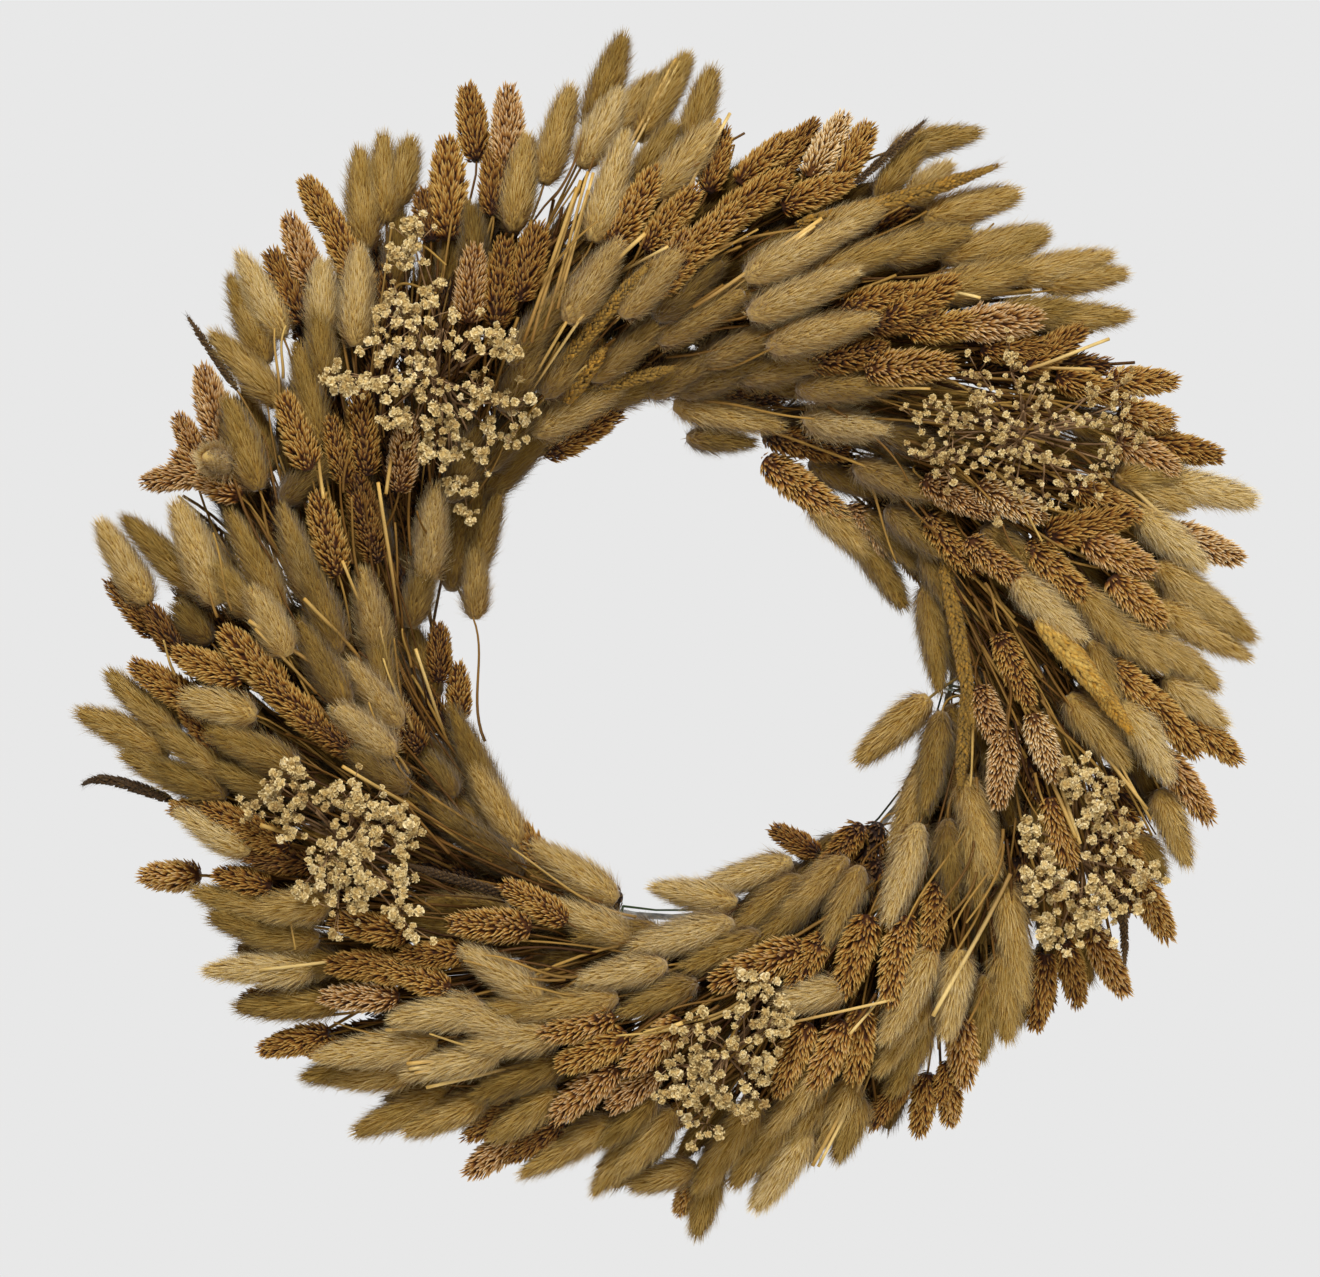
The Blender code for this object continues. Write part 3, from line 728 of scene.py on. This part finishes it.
def add_loose_fibres():
    """Many stems between the heads, along the swirl, which show in the dark gaps."""
    for _ in range(LOOSE_FIBRES):
        clock = RNG.uniform(0, 360)
        nearest, furthest = plan_limits(clock)
        radius = np.clip(RNG.uniform(104, 205), nearest + 12, furthest - 32)
        if in_window(clock, radius):
            continue
        lean = np.interp(radius, LEAN_RADII, LEAN_ANGLES) + RNG.normal(0, 9)
        length = RNG.uniform(35, 75)
        way = heading(clock, lean)
        x, z = flat_spot(clock, radius)
        under = RNG.uniform(7, 45)
        middle = np.array([x, 0.0, z])
        a = middle - way * length / 2
        b = middle + way * length / 2
        if in_opening(a) or in_opening(b):
            continue
        for end in (a, b):
            end[1] = -max(surface_depth(end[0], end[2]) - under, least_depth(end[0], end[2]) + 1)
        pull = way * length * 0.3
        swerve = RNG.normal(0, 0.05, 3) * length
        path = curve(a, pull + swerve, b, pull - swerve, 7)
        batch_for(bunch_at(x, z), "stems").add(*tube(path, RNG.uniform(0.4, 0.8), 4, RNG.uniform(0.0, 0.65)))


def add_tied_stems():
    """The cut stems of each bunch: along the frame, under the wire."""
    for bunch in range(BUNCHES):
        for _ in range(STEMS_AT_TIE):
            radius = RNG.uniform(132.5, 147.5)
            depth = RNG.uniform(17.2, 26.0)
            tail = RNG.uniform(11, 34)
            angles = np.linspace(tail, -9, 9)
            drift = np.linspace(RNG.uniform(-3, 3), 0, 9)
            path = [tie_point(bunch, a, radius + d, depth) for a, d in zip(angles, drift)]
            batch_for(bunch, "stems").add(*tube(path, RNG.uniform(0.7, 1.15), 5, RNG.uniform(0.15, 0.75)))


# ---------- flowers

PETALS = 16
PETAL_FACES = np.array([[0, 1, 2], [1, 3, 2], [2, 3, 4]])


def floret(centre, size, facing, tone):
    """A dried floret: a small lumpy ball with crumpled petals over its outer side."""
    side = unit(np.cross(facing, (0.3, 0.5, 0.8)))
    up = np.cross(facing, side)
    frame_axes = np.stack([side, up, facing])
    ball = BALL_POINTS * (size * RNG.uniform(0.50, 0.78, (len(BALL_POINTS), 1)))
    # Painted shade: a darker ball inside, and the ball and petal bases low on the root-to-tip ramp
    inside = (centre + ball @ frame_axes, BALL_FACES, np.tile([tone - 0.1, 0.45], (len(ball), 1)))
    turn = GOLDEN * np.arange(PETALS) + RNG.uniform(0, 6)
    height = np.clip(np.linspace(0.95, -0.35, PETALS) + RNG.normal(0, 0.10, PETALS), -0.6, 1)
    flat = np.sqrt(1 - height ** 2)
    out = np.stack([np.cos(turn) * flat, np.sin(turn) * flat, height], 1) @ frame_axes
    across = unit(np.cross(out, RNG.normal(0, 1, (PETALS, 3))))
    reach = out * (size * RNG.uniform(0.85, 1.15, PETALS)[:, None])
    half = across * (size * RNG.uniform(0.30, 0.50, PETALS)[:, None])
    curl = np.cross(out, across) * (size * RNG.normal(0.08, 0.12, (PETALS, 1)))
    points = centre + np.stack([
        out * size * 0.35,
        reach * 0.75 - half,
        reach * 0.75 + half + curl,
        reach - half * 0.5 + curl * 2,
        reach * 1.05 + half * 0.5,
    ], 1)
    tones = (tone + RNG.normal(0, 0.08, PETALS))[:, None]
    crumple = repeated(points, PETAL_FACES, tones, (0.25, 0.7, 0.7, 1.0, 1.0))
    return joined([inside, crumple])


def ball_mesh():
    """An octahedron with its faces split once, on the unit ball."""
    corners = [(1, 0, 0), (-1, 0, 0), (0, 1, 0), (0, -1, 0), (0, 0, 1), (0, 0, -1)]
    points = [np.array(c, float) for c in corners]
    faces = []
    for x in (0, 1):
        for y in (2, 3):
            for z in (4, 5):
                mids = []
                for a, b in ((x, y), (y, z), (z, x)):
                    points.append(unit(points[a] + points[b]))
                    mids.append(len(points) - 1)
                faces += [(x, mids[0], mids[2]), (y, mids[1], mids[0]), (z, mids[2], mids[1]), tuple(mids)]
    return np.array(points), np.array(faces)


BALL_POINTS, BALL_FACES = ball_mesh()


def cluster_spots(text):
    for word in text.split():
        clock, radius, spread = (float(v) for v in word.split("/"))
        yield spot(clock, radius, 4.0), spread


def build_flowers(name, text, fine):
    """One sprig: a forked stem, a cluster at the end of each branch, and its florets."""
    blooms = Batch()
    twigs = Batch()
    clusters = list(cluster_spots(text))
    middle = np.mean([c for c, _ in clusters], 0)
    foot = tie_point(bunch_at(middle[0], middle[2]), 0, TIE_RADIUS, 24)
    trunk = middle + np.array([0, 16, 0])
    way = trunk - foot
    twigs.add(*tube(curve(foot, way * 0.3, trunk, way * 0.3, 8), np.linspace(1.2, 0.9, 8), 6, 0.3))
    for centre, spread in clusters:
        gap = centre - trunk
        fork = trunk + gap * 0.45 + RNG.normal(0, 2.5, 3) + np.array([0, 4, 0])
        branch = curve(trunk, gap * 0.2, fork, gap * 0.15, 5)
        twigs.add(*tube(branch, np.linspace(0.7, 0.5, 5), 5, 0.35))
        branch = curve(fork, gap * 0.2, centre + (0, 3, 0), gap * 0.15, 6)
        twigs.add(*tube(branch, np.linspace(0.5, 0.35, 6), 5, 0.45))
        count = int(3 + 0.95 * spread)
        for _ in range(count):
            offset = RNG.normal(0, 1, 3) * (spread * 0.50, spread * 0.22, spread * 0.50)
            place = centre + offset
            size = RNG.uniform(0.9, 1.8) if fine else RNG.uniform(1.3, 2.7)
            facing = unit(np.array([0, -1.0, 0]) + offset / spread * 0.9 + RNG.normal(0, 0.25, 3))
            blooms.add(*floret(place, size, facing, RNG.normal(0.44 if fine else 0.54, 0.2)))
            joint = centre + offset * 0.15 + np.array([0, 5.5, 0])
            twigs.add(*tube([joint, (joint + place) / 2 + RNG.normal(0, 0.6, 3), place], 0.22, 4, 0.6))
    node = f"flower_spray_{name}"
    finish_piece(blooms, f"{node}_florets", "flowers", node, smooth=False)
    finish_piece(twigs, f"{node}_twigs", "twigs", node)


# ---------- materials


def node_material(name, roughness, sheen=0.0, metallic=0.0):
    """A material, its tree and its shader, with the shader's plain values set."""
    material = bpy.data.materials.new(name)
    material.use_nodes = True
    tree = material.node_tree
    shader = tree.nodes["Principled BSDF"]
    shader.inputs["Roughness"].default_value = roughness
    shader.inputs["Metallic"].default_value = metallic
    shader.inputs["Sheen Weight"].default_value = sheen
    shader.inputs["Specular IOR Level"].default_value = 0.25
    return material, tree, shader


def add_node(tree, kind, inputs=None, **settings):
    """A node whose inputs are each linked to a socket or set to a value."""
    node = tree.nodes.new(kind)
    for key, value in settings.items():
        setattr(node, key, value)
    for key, value in (inputs or {}).items():
        if isinstance(value, bpy.types.NodeSocket):
            tree.links.new(value, node.inputs[key])
        else:
            node.inputs[key].default_value = value
    return node


def linear(colour):
    """An sRGB colour in 0 to 255 as the linear values that shaders use."""
    values = np.array(colour, float) / 255
    return tuple(np.where(values < 0.04045, values / 12.92, ((values + 0.055) / 1.055) ** 2.4)) + (1.0,)


def ramp(tree, factor, stops):
    """The colour socket of a ramp with these places and sRGB colours."""
    node = add_node(tree, "ShaderNodeValToRGB", {"Fac": factor})
    elements = node.color_ramp.elements
    while len(elements) < len(stops):
        elements.new(0.5)
    for element, (place, colour) in zip(elements, stops):
        element.position = place
        element.color = linear(colour)
    return node.outputs["Color"]


# A Mix node's colour sockets, whose names it uses more than once
MIX_COLOUR_A = 6
MIX_COLOUR_B = 7
MIX_RESULT = 2


def mapped_material(name, tones, painted_shades, roughness, sheen, grain=60.0, strength=0.30):
    """A plant's material: the map gives a tone from plant to plant and a painted shade from root to tip,
    darker roots as painted shade and paler tips as painted light.
    """
    material, tree, shader = node_material(name, roughness, sheen)
    place = add_node(tree, "ShaderNodeUVMap", uv_map="OFBake").outputs["UV"]
    split = add_node(tree, "ShaderNodeSeparateXYZ", {"Vector": place})
    tone = ramp(tree, split.outputs["X"], tones)
    # Painted shade and painted light: darker at the roots, paler at the tips
    painted_shade = ramp(tree, split.outputs["Y"], painted_shades)
    mixed = add_node(tree, "ShaderNodeMix", {"Factor": 1.0}, data_type="RGBA", blend_type="MULTIPLY")
    tree.links.new(tone, mixed.inputs[MIX_COLOUR_A])
    tree.links.new(painted_shade, mixed.inputs[MIX_COLOUR_B])
    stretched = add_node(tree, "ShaderNodeMapping", {"Vector": place, "Scale": (grain, 3.0, 1.0)})
    streak = add_node(tree, "ShaderNodeTexNoise", {
        "Vector": stretched.outputs["Vector"], "Scale": 1.0, "Detail": 3.0})
    value = add_node(tree, "ShaderNodeMapRange", {
        "Value": streak.outputs["Fac"], "From Min": 0.3, "From Max": 0.7,
        "To Min": 1 - strength, "To Max": 1 + strength})
    final = add_node(tree, "ShaderNodeHueSaturation", {
        "Color": mixed.outputs[MIX_RESULT], "Value": value.outputs["Result"]})
    tree.links.new(final.outputs["Color"], shader.inputs["Base Color"])
    rough = add_node(tree, "ShaderNodeMapRange", {
        "Value": streak.outputs["Fac"], "To Min": roughness - 0.08, "To Max": roughness + 0.08})
    tree.links.new(rough.outputs["Result"], shader.inputs["Roughness"])
    return material


def wire_material(name, dark, light, metallic, roughness, scale):
    """Wire with a mottled coat and fine scratches."""
    material, tree, shader = node_material(name, roughness, 0.0, metallic)
    place = add_node(tree, "ShaderNodeTexCoord").outputs["Object"]
    cells = add_node(tree, "ShaderNodeTexVoronoi", {"Vector": place, "Scale": scale})
    cloud = add_node(tree, "ShaderNodeTexNoise", {"Vector": place, "Scale": scale * 0.6, "Detail": 5.0})
    blend = add_node(tree, "ShaderNodeMath", {0: cells.outputs["Distance"], 1: cloud.outputs["Fac"]},
                     operation="MULTIPLY")
    colour = ramp(tree, blend.outputs["Value"], ((0.0, dark), (0.45, light)))
    tree.links.new(colour, shader.inputs["Base Color"])
    rough = add_node(tree, "ShaderNodeMapRange", {
        "Value": cloud.outputs["Fac"], "To Min": roughness - 0.12, "To Max": roughness + 0.18})
    tree.links.new(rough.outputs["Result"], shader.inputs["Roughness"])
    bump = add_node(tree, "ShaderNodeBump", {
        "Height": cloud.outputs["Fac"], "Strength": 0.25, "Distance": 0.0002})
    tree.links.new(bump.outputs["Normal"], shader.inputs["Normal"])
    return material


# Tones from dark to pale, painted shades from root to tip, then roughness and sheen. The painted shades
# darken roots as painted shade where hairs, scales, petals and stems lie under others, and pale the tips as
# painted light; on canary scales the pale tips are partly their own colour.
MATERIALS = {
    "bunny_tails": mapped_material(
        "bunny_tail_hair",
        ((0.0, (96, 78, 36)), (0.25, (140, 119, 62)), (0.47, (180, 158, 98)), (0.7, (216, 196, 146)),
         (1.0, (240, 229, 198))),
        ((0.0, (146, 104, 26)), (0.35, (214, 190, 122)), (1.0, (255, 255, 250))),
        0.85, 0.3, strength=0.10),
    "canary_grass": mapped_material(
        "canary_grass_scales",
        ((0.0, (106, 78, 36)), (0.16, (144, 108, 52)), (0.36, (184, 148, 78)), (0.55, (208, 176, 106)),
         (0.70, (200, 166, 126)), (0.85, (218, 192, 154)), (1.0, (234, 216, 182))),
        ((0.0, (72, 40, 8)), (0.36, (132, 92, 36)), (0.60, (204, 174, 116)), (0.86, (255, 255, 252))),
        0.72, 0.1, strength=0.2),
    "foxtails": mapped_material(
        "foxtail_seeds",
        ((0.0, (92, 72, 30)), (0.42, (158, 126, 60)), (0.72, (200, 148, 48)), (1.0, (220, 186, 104))),
        ((0.0, (130, 120, 98)), (1.0, (255, 255, 245))), 0.75, 0.1),
    "dark_spikes": mapped_material(
        "dark_grass_seeds",
        ((0.0, (40, 26, 12)), (0.4, (78, 56, 30)), (1.0, (126, 98, 56))),
        ((0.0, (140, 130, 120)), (1.0, (255, 255, 250))), 0.75, 0.1),
    "stems": mapped_material(
        "dry_stems",
        ((0.0, (72, 42, 8)), (0.35, (118, 84, 32)), (0.7, (178, 145, 78)), (1.0, (216, 192, 126))),
        ((0.0, (190, 178, 160)), (1.0, (255, 252, 240))), 0.6, 0.0, 30.0, 0.22),
    "straws": mapped_material(
        "cut_straw",
        ((0.0, (168, 136, 74)), (0.5, (220, 188, 120)), (1.0, (242, 222, 164))),
        ((0.0, (170, 150, 120)), (0.9, (255, 252, 240)), (1.0, (240, 226, 190))), 0.45, 0.0, 40.0, 0.18),
    "flowers": mapped_material(
        "cream_florets",
        ((0.0, (172, 148, 102)), (0.3, (210, 190, 140)), (0.6, (234, 219, 174)), (1.0, (248, 238, 206))),
        ((0.0, (170, 142, 100)), (0.45, (226, 212, 182)), (1.0, (255, 253, 246))),
        0.85, 0.1, strength=0.12),
    "twigs": mapped_material(
        "floret_twigs",
        ((0.0, (104, 78, 52)), (0.5, (158, 130, 100)), (1.0, (196, 170, 134))),
        ((0.0, (200, 190, 176)), (1.0, (255, 250, 240))), 0.7, 0.0),
}
ZINC = wire_material("galvanised_steel", (118, 120, 122), (176, 178, 180), 0.9, 0.42, 420.0)
GREEN_WIRE = wire_material("green_lacquered_wire", (30, 44, 26), (62, 82, 48), 0.15, 0.45, 600.0)


def finish_piece(batch, name, species, node, smooth=True):
    """A batch as a piece that rides on the wreath's body in place of a CAD node."""
    obj = batch.build(name, MATERIALS[species], smooth)
    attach(obj, "wreath")
    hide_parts(node)


def build_batches():
    for (bunch, species), batch in sorted(batches.items()):
        name = f"bunch_{bunch + 1:02d}"
        finish_piece(batch, f"{name}_{species}", species, f"grass_{name}", smooth=species != "canary_grass")


def finish_wires():
    """Better materials and smooth shading for the CAD wires."""
    for name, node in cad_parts.items():
        if name.startswith("frame_") or name == "hanging_loop":
            material = ZINC
        elif name == "binding_wire":
            material = GREEN_WIRE
        else:
            continue
        node.data.materials.clear()
        node.data.materials.append(material)
        node.data.polygons.foreach_set("use_smooth", np.full(len(node.data.polygons), True))


# ---------- camera, floor and lights


def aim(obj, target):
    direction = Vector(target) - obj.location
    obj.rotation_euler = direction.to_track_quat("-Z", "Y").to_euler()


def set_colours():
    """Plain sRGB, so that a colour in a material is the colour seen in even light."""
    bpy.context.scene.view_settings.view_transform = "Standard"


def add_camera():
    """Straight in front. The view is 560 mm wide at the heads, 40 mm in front of the back rails."""
    distance = 2.4
    width = 0.560 * distance / (distance - 0.040)
    camera = bpy.data.cameras.new("camera")
    camera.sensor_fit = "HORIZONTAL"
    camera.angle = 2 * math.atan(width / 2 / distance)
    camera.clip_start = 0.05
    obj = bpy.data.objects.new("camera", camera)
    bpy.context.scene.collection.objects.link(obj)
    x = HUB[0] - 5.4 * MM
    z = HUB[2] - 1.7 * MM
    obj.location = (x, -distance, z)
    obj.rotation_euler = (math.pi / 2, 0, 0)
    bpy.context.scene.camera = obj


def add_area(name, location, size, power, colour):
    """A round soft light aimed at the wreath."""
    light = bpy.data.lights.new(name, "AREA")
    light.shape = "DISK"
    light.size = size
    light.energy = power
    light.color = colour
    obj = bpy.data.objects.new(name, light)
    bpy.context.scene.collection.objects.link(obj)
    obj.location = location
    aim(obj, HUB)


def add_lights():
    """A high key light, fill, side and back lights, and an even pale background."""
    add_area("key", (-0.2, -2.0, 1.35), 0.8, 53, (1.0, 0.975, 0.92))
    add_area("fill", (0.7, -1.8, -0.6), 1.2, 12, (1.0, 0.97, 0.91))
    add_area("side", (2.4, -0.3, 0.7), 1.2, 12, (1.0, 0.98, 0.95))
    add_area("back", (0.8, 2.1, 1.0), 1.4, 34, (1.0, 0.985, 0.96))
    add_area("back_left", (-2.1, 1.5, 0.5), 1.2, 20, (1.0, 0.985, 0.96))
    world = bpy.data.worlds.new("pale studio")
    bpy.context.scene.world = world
    world.use_nodes = True
    tree = world.node_tree
    path = add_node(tree, "ShaderNodeLightPath")
    lit = add_node(tree, "ShaderNodeBackground", {"Color": linear((240, 216, 174)), "Strength": 0.22})
    seen = tree.nodes["Background"]
    seen.inputs["Color"].default_value = linear((232, 232, 232))
    mix = add_node(tree, "ShaderNodeMixShader", {
        "Fac": path.outputs["Is Camera Ray"], 1: lit.outputs["Background"], 2: seen.outputs["Background"]})
    tree.links.new(mix.outputs["Shader"], tree.nodes["World Output"].inputs["Surface"])


def add_floor():
    """A pale disc under the wreath, out of the main view."""
    place = (0, 0, HUB[2] - 0.75)
    bpy.ops.mesh.primitive_circle_add(vertices=96, radius=1.6, fill_type="NGON", location=place)
    floor = bpy.context.object
    floor.name = "floor"
    material, _, shader = node_material("pale_floor", 0.7)
    shader.inputs["Base Color"].default_value = linear((210, 209, 206))
    floor.data.materials.append(material)


# ---------- build

set_colours()
add_camera()
add_lights()
add_floor()
plant_plan()
plant_fillers()
add_straws()
add_strands()
add_loose_fibres()
add_tied_stems()
build_batches()
add_loose_pieces()
for sprig, clusters in FLOWERS.items():
    build_flowers(sprig, clusters, fine=sprig == "upper_right")
finish_wires()
